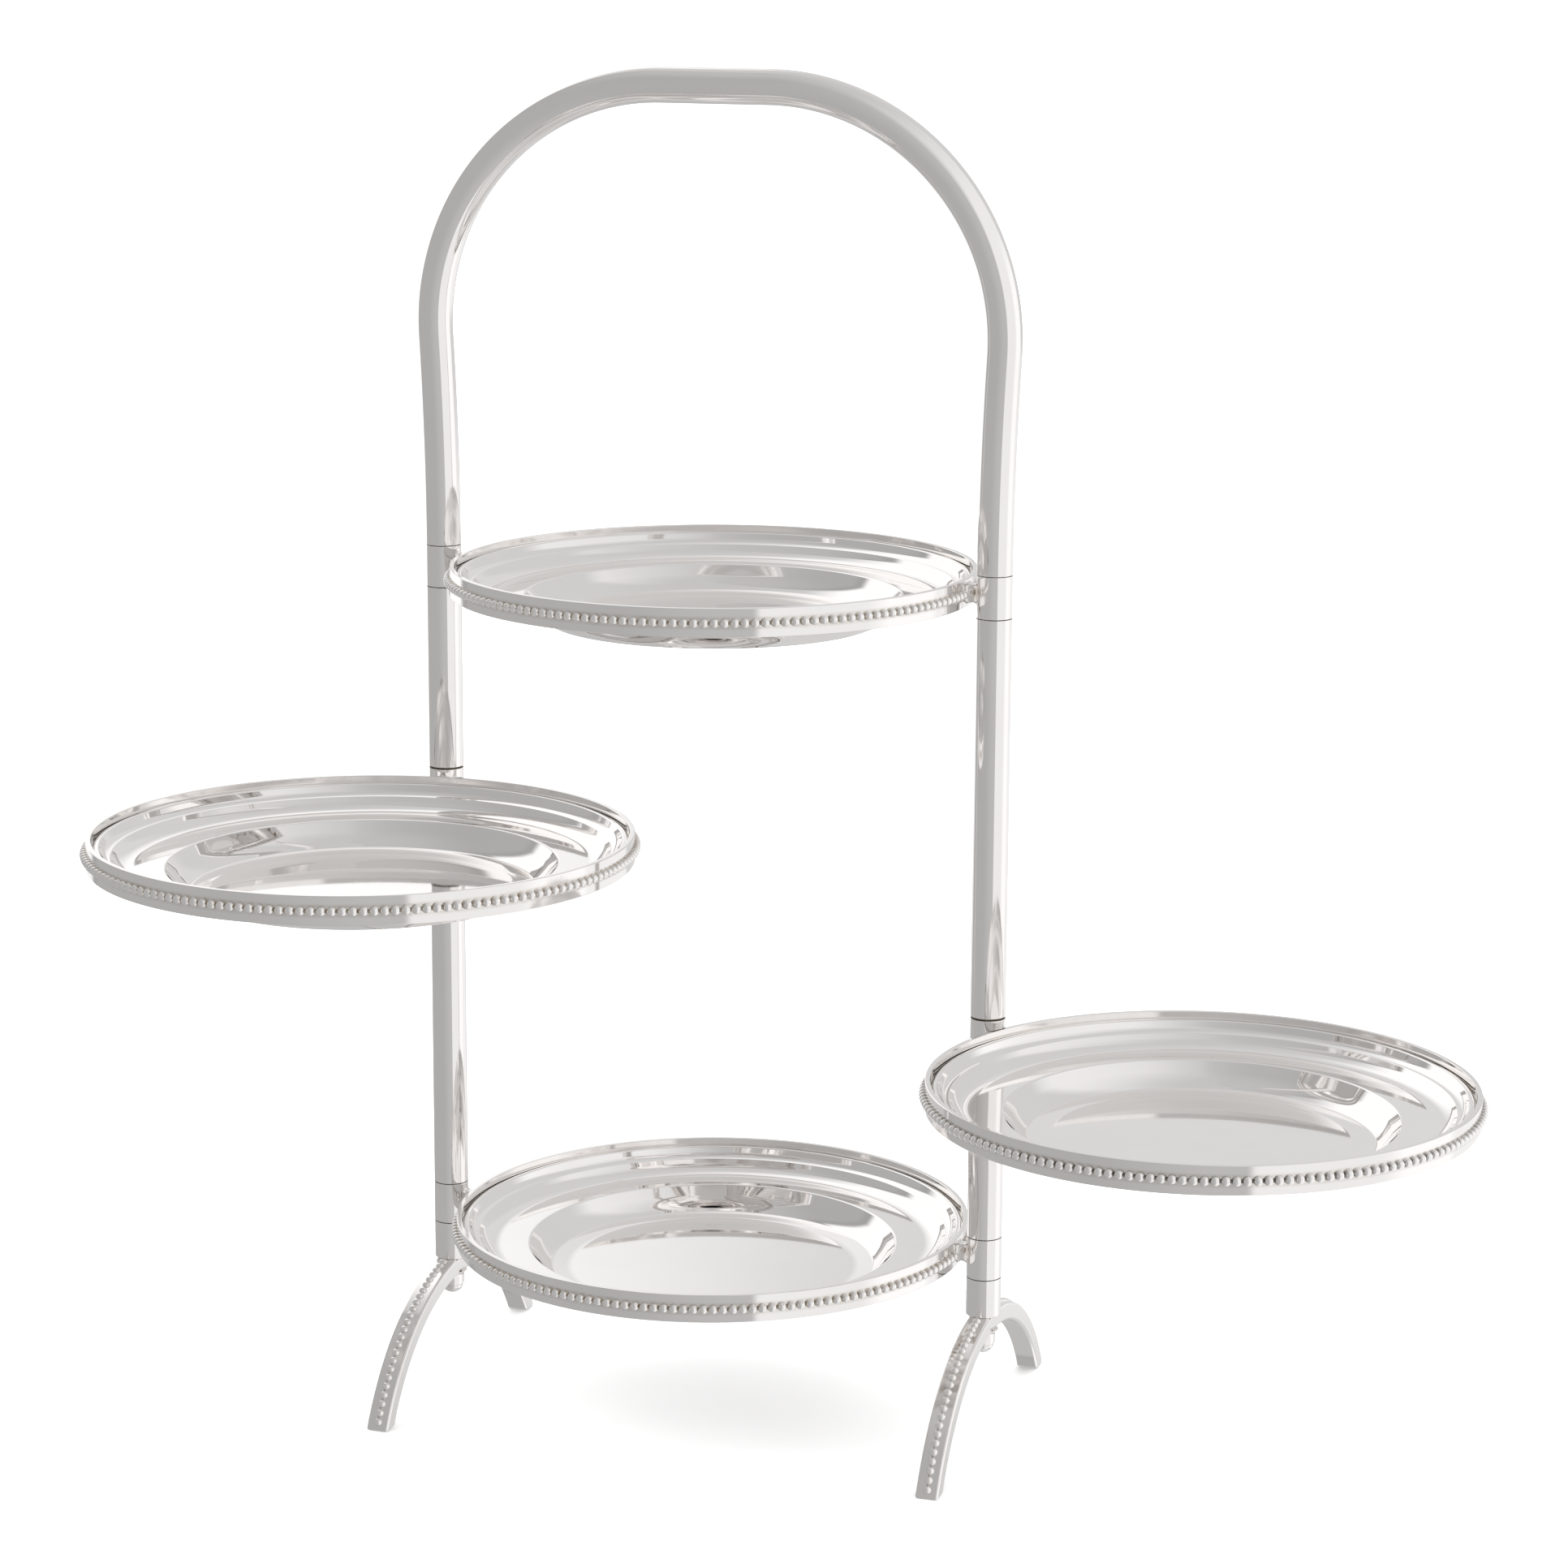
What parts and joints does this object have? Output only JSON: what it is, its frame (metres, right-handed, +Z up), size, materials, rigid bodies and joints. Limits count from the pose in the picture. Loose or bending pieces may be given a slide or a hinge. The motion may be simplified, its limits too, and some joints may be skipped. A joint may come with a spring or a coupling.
{
  "type": "tiered cake stand",
  "caption": "Polished silver-plated cake stand: two posts under an arch handle, beaded ring holders with lift-out dishes, the middle tiers swinging on one post each.",
  "frame": {"origin": "centre of the whole object's footprint on the resting surface, with the two middle tiers swung out as at rest", "axes": "+Z up the posts; +X from the left post to the right post; -Y is the front, towards which the left tier is swung"},
  "size_m": [0.602, 0.3718, 0.614],
  "materials": {
    "silver_plate": "mirror polish",
    "brass": "turned",
    "steel_rod": "drawn"
  },
  "bodies": {
    "frame": {"arch_handle": "silver_plate", "arch_plug_left": "brass", "tie_rod_left": "steel_rod", "top_collar_left": "silver_plate", "upper_tube_left": "silver_plate", "upper_washer_left": "brass", "pivot_spindle_left": "brass", "lower_washer_left": "brass", "lower_tube_left": "silver_plate", "bottom_collar_left": "silver_plate", "stub_tube_left": "silver_plate", "leg_left": "silver_plate", "domed_nut_left": "silver_plate", "arch_plug_right": "brass", "tie_rod_right": "steel_rod", "top_collar_right": "silver_plate", "upper_tube_right": "silver_plate", "upper_washer_right": "brass", "pivot_spindle_right": "brass", "lower_washer_right": "brass", "lower_tube_right": "silver_plate", "bottom_collar_right": "silver_plate", "stub_tube_right": "silver_plate", "leg_right": "silver_plate", "domed_nut_right": "silver_plate", "top_ring": "silver_plate", "top_bead_trim": "silver_plate", "top_lugs": "silver_plate", "bottom_ring": "silver_plate", "bottom_bead_trim": "silver_plate", "bottom_lugs": "silver_plate"},
    "left_tier": {"pivot_collar_left": "silver_plate", "left_ring": "silver_plate", "left_bead_trim": "silver_plate", "left_lug": "silver_plate"},
    "right_tier": {"pivot_collar_right": "silver_plate", "right_ring": "silver_plate", "right_bead_trim": "silver_plate", "right_lug": "silver_plate"},
    "top_dish": {"top_dish": "silver_plate"},
    "left_dish": {"left_dish": "silver_plate"},
    "right_dish": {"right_dish": "silver_plate"},
    "bottom_dish": {"bottom_dish": "silver_plate"}
  },
  "joints": [
    {"name": "left_tier_swing", "type": "hinge", "parent": "frame", "child": "left_tier", "pos_m": [-0.1935, 0.065, 0.2828], "axis": [0, 0, 1], "continuous": true},
    {"name": "right_tier_swing", "type": "hinge", "parent": "frame", "child": "right_tier", "pos_m": [0.0675, 0.065, 0.1858], "axis": [0, 0, 1], "continuous": true},
    {"name": "top_dish_lift", "type": "slide", "parent": "frame", "child": "top_dish", "axis": [0, 0, 1], "range_m": [0, 0.05]},
    {"name": "left_dish_lift", "type": "slide", "parent": "left_tier", "child": "left_dish", "axis": [0, 0, 1], "range_m": [0, 0.05]},
    {"name": "right_dish_lift", "type": "slide", "parent": "right_tier", "child": "right_dish", "axis": [0, 0, 1], "range_m": [0, 0.05]},
    {"name": "bottom_dish_lift", "type": "slide", "parent": "frame", "child": "bottom_dish", "axis": [0, 0, 1], "range_m": [0, 0.05]}
  ]
}
